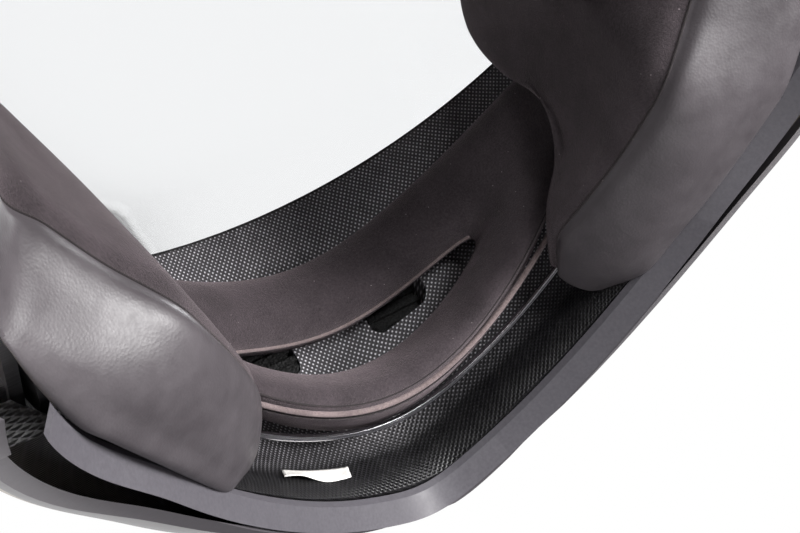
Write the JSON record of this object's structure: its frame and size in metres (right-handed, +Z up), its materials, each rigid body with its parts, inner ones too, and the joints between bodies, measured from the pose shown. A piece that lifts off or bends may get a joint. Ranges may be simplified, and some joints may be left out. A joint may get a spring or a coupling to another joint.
{
  "type": "flip-up racing helmet",
  "caption": "Full-face motor sport helmet with a chin bar that flips up, tilting clear visor, padded chin ring, cheek pads, vents and ratchet chin strap.",
  "frame": {"origin": "on the table the helmet stands on, under the middle of its overall box", "axes": "+Z up from the rim to the crown, the chin faces -Y, the wearer's left hand is at +X"},
  "size_m": [0.2718, 0.3301, 0.2676],
  "materials": {
    "shell_paint": "warm grey lacquer over moulded shell",
    "eps_foam": "expanded polystyrene beads, dark",
    "lining_fabric": "brushed knit lining",
    "lining_leather": "soft synthetic leather",
    "edge_rubber": "extruded rubber edge",
    "vent_plastic": "fine moulded grain",
    "liner_plastic": "embossed grid",
    "rim_plastic": "satin moulded band",
    "suede_fabric": "napped suede cloth",
    "bright_wire": "polished wire",
    "button_plastic": "moulded, fine grain",
    "visor_glass": "clear hard-coated polycarbonate",
    "webbing": "woven polyester webbing",
    "steel": "brushed",
    "strip_plastic": "moulded",
    "filter_foam": "open-cell ribbed foam"
  },
  "bodies": {
    "helmet": {"outer_shell": "shell_paint", "crown_liner": "eps_foam", "crown_padding": "lining_fabric", "neck_roll": "lining_leather", "neck_rim_trim": "edge_rubber", "brow_gasket": "edge_rubber", "top_vent_housing": "vent_plastic", "rear_exhaust": "vent_plastic", "chin_strap_left": "webbing", "chin_strap_right": "webbing", "buckle_frame": "steel", "toothed_strip": "strip_plastic", "cheek_pad_left": "suede_fabric", "cheek_pad_right": "suede_fabric", "cheek_carrier_left": "liner_plastic", "cheek_carrier_right": "liner_plastic", "cheek_block_left": "eps_foam", "cheek_block_right": "eps_foam", "pivot_plate_left": "steel", "pivot_plate_right": "steel", "pivot_screw_left": "steel", "pivot_screw_right": "steel", "latch_pin_left": "steel", "latch_pin_right": "steel", "strap_rivet_left": "steel", "strap_rivet_right": "steel"},
    "chin_bar": {"chin_bar_shell": "shell_paint", "chin_bar_liner": "liner_plastic", "chin_rim_trim": "rim_plastic", "eyeport_lip_gasket": "edge_rubber", "chin_pad": "suede_fabric", "chin_pad_wire": "bright_wire", "chin_pad_clips": "vent_plastic", "chin_vent_rails": "vent_plastic", "vent_filter_left": "filter_foam", "vent_filter_right": "filter_foam", "latch_catch_left": "steel", "latch_catch_right": "steel"},
    "visor": {"visor_shield": "visor_glass", "visor_tab": "visor_glass", "visor_cover_left": "vent_plastic", "visor_cover_right": "vent_plastic"},
    "release_button": {"release_button": "button_plastic"},
    "chin_shutter": {"chin_vent_slider": "vent_plastic"},
    "top_shutter": {"top_vent_slider": "vent_plastic"},
    "buckle_lever": {"buckle_lever": "button_plastic"}
  },
  "joints": [
    {"name": "chin_bar_flip", "type": "hinge", "parent": "helmet", "child": "chin_bar", "pos_m": [0, 0.015, 0.165], "axis": [-1, 0, 0], "range_deg": [0, 72]},
    {"name": "visor_tilt", "type": "hinge", "parent": "chin_bar", "child": "visor", "pos_m": [0, 0.015, 0.165], "axis": [-1, 0, 0], "range_deg": [0, 40]},
    {"name": "release_button_press", "type": "slide", "parent": "chin_bar", "child": "release_button", "axis": [0, 1, 0], "range_m": [0, 0.003], "stiffness_N_per_m": 900},
    {"name": "chin_vent_lift", "type": "slide", "parent": "chin_bar", "child": "chin_shutter", "axis": [0, 0, 1], "range_m": [0, 0.008]},
    {"name": "top_vent_slide", "type": "slide", "parent": "helmet", "child": "top_shutter", "axis": [0, 1, 0], "range_m": [0, 0.012]},
    {"name": "buckle_lever_lift", "type": "hinge", "parent": "helmet", "child": "buckle_lever", "pos_m": [-0.012, 0.08591, 0.02872], "axis": [0, -0.8192, -0.5736], "range_deg": [0, 60], "stiffness_Nm_per_rad": 0.05}
  ]
}
